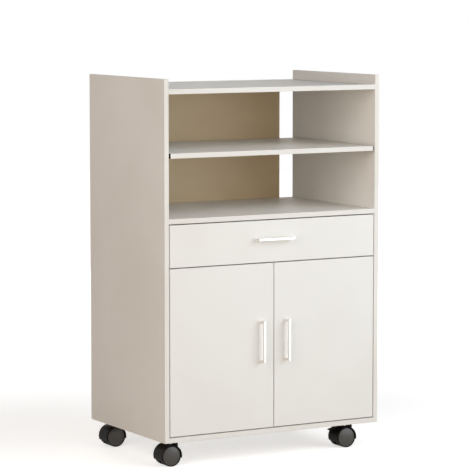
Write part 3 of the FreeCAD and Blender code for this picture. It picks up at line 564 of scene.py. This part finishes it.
def turnedWheel(node, name, body):
    low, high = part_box(node)
    side = -1.0 if "_front_wheel" in node else 1.0
    outer = low.y if side < 0 else high.y
    centreX, centreZ = (low.x + high.x) / 2.0, (low.z + high.z) / 2.0
    profile, discSteps = wheelProfile((high.z - low.z) / 2.0, high.y - low.y)
    mesh = bmesh.new()
    rings = []
    for r, inward in profile:
        count = 1 if r == 0.0 else wheels["steps"]
        turns = [2 * math.pi * k / count for k in range(count)]
        rings.append([mesh.verts.new((centreX + r * math.cos(turn), outer - side * inward,
                                      centreZ + r * math.sin(turn))) for turn in turns])
    for i, (a, b) in enumerate(zip(rings, rings[1:])):
        for k in range(wheels["steps"]):
            n = (k + 1) % wheels["steps"]
            corners = [a[k % len(a)], a[n % len(a)], b[n % len(b)], b[k % len(b)]]
            face = mesh.faces.new(list(dict.fromkeys(corners)))
            face.material_index = 1 if i < discSteps else 0
            face.smooth = True
    bmesh.ops.recalc_face_normals(mesh, faces=mesh.faces)
    data = bpy.data.meshes.new(name)
    mesh.to_mesh(data)
    mesh.free()
    data.materials.append(tyrePlastic)
    data.materials.append(discPlastic)
    data.set_sharp_from_angle(angle=wheels["sharpFrom"])
    piece = bpy.data.objects.new(name, data)
    bpy.context.scene.collection.objects.link(piece)
    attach(piece, body)
    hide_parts(node)


for corner in ("front_left", "front_right", "rear_left", "rear_right"):
    for end in ("front", "rear"):
        label = "".join(word.capitalize() for word in (corner + "_" + end).split("_"))
        turnedWheel(f"{corner}_{end}_wheel", "wheel" + label, f"{corner}_{end}_wheel_body")
print("wheels turned")


# fasteners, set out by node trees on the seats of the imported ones

fastenerLook = {
    "weld": 1e-6, "endSlice": 2e-4,   # distances that find a node's solids, and their head ends
    "headVertices": 28, "headRings": 5, "shankVertices": 16,
    "crownFall": -0.45,   # at the rim, in head heights
    "recessLength": 1.15, "recessDepth": 1.3,   # in head radii and head heights
    "shankDrop": -0.495,   # its middle below the seat, in shank lengths
    "seed": 7,
}
screws = {"Head Radius": 0.0032, "Head Height": 0.0014, "Shank Radius": 0.00175, "Shank Length": 0.0110,
          "Recess Width": 0.0008, "Finish": platedSteel}
handleScrews = {"Head Radius": 0.0040, "Head Height": 0.0022, "Shank Radius": 0.0020,
                "Shank Length": 0.0240, "Recess Width": 0.0011, "Finish": platedSteel}
nails = {"Head Radius": 0.0022, "Head Height": 0.0005, "Shank Radius": 0.0008, "Shank Length": 0.0180,
         "Recess Width": 0.0, "Finish": platedSteel}


def looseParts(name):  # points of each separate solid in a carried-over node
    work = bmesh.new()
    work.from_mesh(nodes[name].data)
    bmesh.ops.remove_doubles(work, verts=work.verts, dist=fastenerLook["weld"])
    seen, parts = set(), []
    for first in work.verts:
        if first in seen:
            continue
        seen.add(first)
        cloud, front = [], [first]
        while front:
            vert = front.pop()
            cloud.append(tuple(vert.co))
            for edge in vert.link_edges:
                other = edge.other_vert(vert)
                if other not in seen:
                    seen.add(other)
                    front.append(other)
        parts.append(np.array(cloud))
    work.free()
    return parts


def seatsOf(name, headHeight):  # where each head sits, and the way it faces
    seats = []
    for cloud in looseParts(name):
        low, high = cloud.min(0), cloud.max(0)
        axis = int(np.argmax(high - low))
        spread = []   # width of each end; the head is the wider one
        for end in (low[axis], high[axis]):
            close = np.abs(cloud[:, axis] - end) < fastenerLook["endSlice"]
            spread.append(np.ptp(cloud[close], axis=0).max())
        way = np.zeros(3)
        way[axis] = 1.0 if spread[1] > spread[0] else -1.0
        seat = (low + high) / 2.0
        seat[axis] = (high[axis] - headHeight) if way[axis] > 0 else (low[axis] + headHeight)
        seats.append((tuple(seat), tuple(way)))
    return seats


def newFastenerTree(name):
    tree = bpy.data.node_groups.new(name, "GeometryNodeTree")
    tree.interface.new_socket("Geometry", in_out="INPUT", socket_type="NodeSocketGeometry")
    for label in screws:
        kind = "NodeSocketMaterial" if label == "Finish" else "NodeSocketFloat"
        tree.interface.new_socket(label, in_out="INPUT", socket_type=kind)
    tree.interface.new_socket("Geometry", in_out="OUTPUT", socket_type="NodeSocketGeometry")
    return tree, tree.nodes.new("NodeGroupInput").outputs


def moved(tree, geometry, z):
    return put(tree, "GeometryNodeTransform",
               {"Geometry": geometry, "Translation": combine(tree, z=z)}).outputs[0]


def buildFastenerTree(name, crossed):
    look = fastenerLook
    tree, given = newFastenerTree(name)
    headRadius, headHeight, shankLength = given["Head Radius"], given["Head Height"], given["Shank Length"]
    head = put(tree, "GeometryNodeMeshCylinder", {
        "Vertices": look["headVertices"], "Side Segments": 1, "Fill Segments": look["headRings"],
        "Radius": headRadius, "Depth": headHeight}).outputs["Mesh"]
    place = split(tree, put(tree, "GeometryNodeInputPosition").outputs[0])
    squared = calc(tree, "ADD", calc(tree, "MULTIPLY", place["X"], place["X"]),
                   calc(tree, "MULTIPLY", place["Y"], place["Y"]))
    share = calc(tree, "DIVIDE", squared, calc(tree, "MULTIPLY", headRadius, headRadius))
    fall = calc(tree, "MULTIPLY", calc(tree, "MULTIPLY", share, share),
                calc(tree, "MULTIPLY", headHeight, look["crownFall"]))
    fall = calc(tree, "MULTIPLY", fall, calc(tree, "GREATER_THAN", place["Z"], 0.0))
    crowned = put(tree, "GeometryNodeSetPosition", {"Geometry": head, "Offset": combine(tree, z=fall)})
    head = moved(tree, crowned.outputs[0], calc(tree, "MULTIPLY", headHeight, 0.5))
    if crossed:
        length = calc(tree, "MULTIPLY", headRadius, look["recessLength"])
        deep = calc(tree, "MULTIPLY", headHeight, look["recessDepth"])
        for x, y in ((length, given["Recess Width"]), (given["Recess Width"], length)):
            bar = put(tree, "GeometryNodeMeshCube", {"Size": combine(tree, x, y, deep)}).outputs["Mesh"]
            head = put(tree, "GeometryNodeMeshBoolean",
                       {"Mesh 1": head, "Mesh 2": moved(tree, bar, headHeight)},
                       operation="DIFFERENCE").outputs["Mesh"]
    shank = put(tree, "GeometryNodeMeshCylinder", {
        "Vertices": look["shankVertices"], "Radius": given["Shank Radius"], "Depth": shankLength})
    shank = moved(tree, shank.outputs["Mesh"], calc(tree, "MULTIPLY", shankLength, look["shankDrop"]))
    whole = put(tree, "GeometryNodeJoinGeometry")
    tree.links.new(head, whole.inputs[0])
    tree.links.new(shank, whole.inputs[0])
    way = put(tree, "GeometryNodeInputNamedAttribute", {"Name": "facing"}, data_type="FLOAT_VECTOR")
    turned = put(tree, "FunctionNodeAlignRotationToVector", {"Vector": way.outputs["Attribute"]}, axis="Z")
    chance = put(tree, "FunctionNodeRandomValue", {3: 2 * math.pi, "Seed": look["seed"]},
                 data_type="FLOAT")   # input 3 is the highest float
    spin = put(tree, "FunctionNodeAxisAngleToRotation", {"Axis": (0, 0, 1), "Angle": chance.outputs[1]})
    turned = put(tree, "FunctionNodeRotateRotation",
                 {"Rotation": turned.outputs[0], "Rotate By": spin.outputs[0]}, rotation_space="LOCAL")
    placed = put(tree, "GeometryNodeInstanceOnPoints",
                 {"Points": given["Geometry"], "Instance": whole.outputs[0], "Rotation": turned.outputs[0]})
    real = put(tree, "GeometryNodeRealizeInstances", {"Geometry": placed.outputs[0]})
    put(tree, "NodeGroupOutput", {0: put(tree, "GeometryNodeSetMaterial", {
        "Geometry": real.outputs[0], "Material": given["Finish"]}).outputs[0]})
    return tree


screwTree = buildFastenerTree("crossHeadScrews", True)
nailTree = buildFastenerTree("flatHeadNails", False)


def setOut(name, node, body, tree, values):
    seats = seatsOf(node, values["Head Height"])
    data = bpy.data.meshes.new(name)
    data.from_pydata([seat for seat, way in seats], [], [])
    ways = data.attributes.new("facing", "FLOAT_VECTOR", "POINT")
    for i, (seat, way) in enumerate(seats):
        ways.data[i].vector = way
    piece = bpy.data.objects.new(name, data)
    bpy.context.scene.collection.objects.link(piece)
    modifier = piece.modifiers.new("set out", "NODES")
    modifier.node_group = tree
    for item in tree.interface.items_tree:
        if item.in_out == "INPUT" and item.name in values:
            modifier[item.identifier] = values[item.name]
    graph = bpy.context.evaluated_depsgraph_get()
    baked = bpy.data.meshes.new_from_object(piece.evaluated_get(graph), depsgraph=graph)
    piece.modifiers.remove(modifier)
    piece.data = baked
    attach(piece, body)
    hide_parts(node)
    print("set out", len(seats), "on", node, "faces", len(baked.polygons))


setOut("screwsCarcass", "carcass_screws", "carcass", screwTree, screws)
setOut("screwsDrawerStrips", "drawer_runner_screws", "drawer", screwTree, screws)
setOut("screwsDrawerHandle", "drawer_handle_screws", "drawer", screwTree, handleScrews)
setOut("screwsLeftHandle", "left_door_handle_screws", "left_door", screwTree, handleScrews)
setOut("screwsRightHandle", "right_door_handle_screws", "right_door", screwTree, handleScrews)
setOut("nailsBackBoard", "back_panel_nails", "carcass", nailTree, nails)


# floor, light and camera

stage = {
    "horizonLight": (0.165, 0.152, 0.136), "zenithLight": (0.075, 0.070, 0.063),
    "skyRange": (0.05, 0.85),   # how high the horizon's light gives way to the zenith's
    "keyPower": 101.5, "keySize": 3.0, "keyAt": (2.15, -2.70, 1.50), "keyColour": (0.870, 0.945, 1.0),
    "fillPower": 76.0, "fillSize": 3.0, "fillAt": (-2.8, -1.95, 1.70), "fillColour": (0.99, 0.925, 0.880),
    "rearPower": 34.0, "rearSize": 1.7, "rearAt": (1.3, 3.5, 0.90), "rearColour": (1.0, 0.985, 0.960),
    "aim": (0.0, 0.0, 0.48),
    "floorRadius": 9.0, "floorSegments": 96, "floorCloud": (1.2, 3.0),
    "floorBounce": (0.53, 0.42, 0.30), "floorPale": (0.80, 0.80, 0.79), "floorPaler": (0.83, 0.83, 0.82),
    "floorLift": (0.62, 0.97), "floorFade": (0.65, 1.9),   # glow near and far, and how far that is
    "camera": (-3.0028, -5.2466, 1.1492), "pitch": 5.846, "yaw": 29.768,   # degrees
    "lens": 187.52, "sensor": 36.0, "farthest": 100.0,
}


def seenDirectly(tree):  # 1 for the camera, for reflections and through glass
    path = put(tree, "ShaderNodeLightPath").outputs
    return calc(tree, "MAXIMUM", calc(tree, "MAXIMUM", path["Is Camera Ray"], path["Is Glossy Ray"]),
                path["Is Transmission Ray"])


def buildWorld():
    world = bpy.data.worlds.new("studio")
    bpy.context.scene.world = world
    world.use_nodes = True
    tree = world.node_tree
    tree.nodes.clear()
    up = split(tree, put(tree, "ShaderNodeTexCoord").outputs["Generated"])["Z"]
    colour = blendColour(tree, between(tree, up, *stage["skyRange"]), stage["horizonLight"] + (1,),
                         stage["zenithLight"] + (1,))
    soft = put(tree, "ShaderNodeBackground", {"Color": colour, "Strength": 1.0}).outputs[0]
    white = put(tree, "ShaderNodeBackground", {"Color": (1, 1, 1, 1), "Strength": 1.0}).outputs[0]
    mix = put(tree, "ShaderNodeMixShader", {0: seenDirectly(tree), 1: soft, 2: white}).outputs[0]
    put(tree, "ShaderNodeOutputWorld", {"Surface": mix})


def buildFloor():
    mesh = bmesh.new()
    bmesh.ops.create_circle(mesh, cap_ends=True, segments=stage["floorSegments"],
                            radius=stage["floorRadius"])
    data = bpy.data.meshes.new("floor")
    mesh.to_mesh(data)
    mesh.free()
    floor = bpy.data.objects.new("floor", data)
    bpy.context.scene.collection.objects.link(floor)
    material = bpy.data.materials.new("paleFloor")
    material.use_nodes = True
    tree = material.node_tree
    tree.nodes.clear()
    coords = objectCoords(tree)
    pale = blendColour(tree, noise(tree, coords, *stage["floorCloud"]), stage["floorPale"] + (1,),
                       stage["floorPaler"] + (1,))
    away = put(tree, "ShaderNodeVectorMath", {0: coords}, operation="LENGTH").outputs["Value"]
    lift = between(tree, away, *stage["floorFade"], *stage["floorLift"])
    bounce = put(tree, "ShaderNodeBsdfDiffuse", {"Color": stage["floorBounce"] + (1,)}).outputs[0]
    matte = put(tree, "ShaderNodeBsdfDiffuse", {"Color": pale}).outputs[0]
    glow = put(tree, "ShaderNodeEmission", {"Color": (1, 1, 1, 1), "Strength": lift}).outputs[0]
    lifted = put(tree, "ShaderNodeAddShader", {0: matte, 1: glow}).outputs[0]
    mix = put(tree, "ShaderNodeMixShader", {0: seenDirectly(tree), 1: bounce, 2: lifted}).outputs[0]
    put(tree, "ShaderNodeOutputMaterial", {"Surface": mix})
    floor.data.materials.append(material)


def softLamp(name):
    data = bpy.data.lights.new(name, "AREA")
    data.energy = stage[name + "Power"]
    data.size = stage[name + "Size"]
    data.color = stage[name + "Colour"]
    lamp = bpy.data.objects.new(name, data)
    lamp.location = stage[name + "At"]
    lamp.rotation_euler = (Vector(stage["aim"]) - lamp.location).to_track_quat("-Z", "Y").to_euler()
    bpy.context.scene.collection.objects.link(lamp)


def buildCamera():
    data = bpy.data.cameras.new("camera")
    data.lens = stage["lens"]
    data.sensor_width = stage["sensor"]
    data.clip_end = stage["farthest"]
    camera = bpy.data.objects.new("camera", data)
    camera.location = stage["camera"]
    camera.rotation_euler = (math.radians(90.0 - stage["pitch"]), 0.0, math.radians(-stage["yaw"]))
    bpy.context.scene.collection.objects.link(camera)
    bpy.context.scene.camera = camera


buildWorld()
buildFloor()
for lampName in ("key", "fill", "rear"):
    softLamp(lampName)
buildCamera()
bpy.context.scene.view_settings.view_transform = "Standard"
print("stage, lamps and camera set")
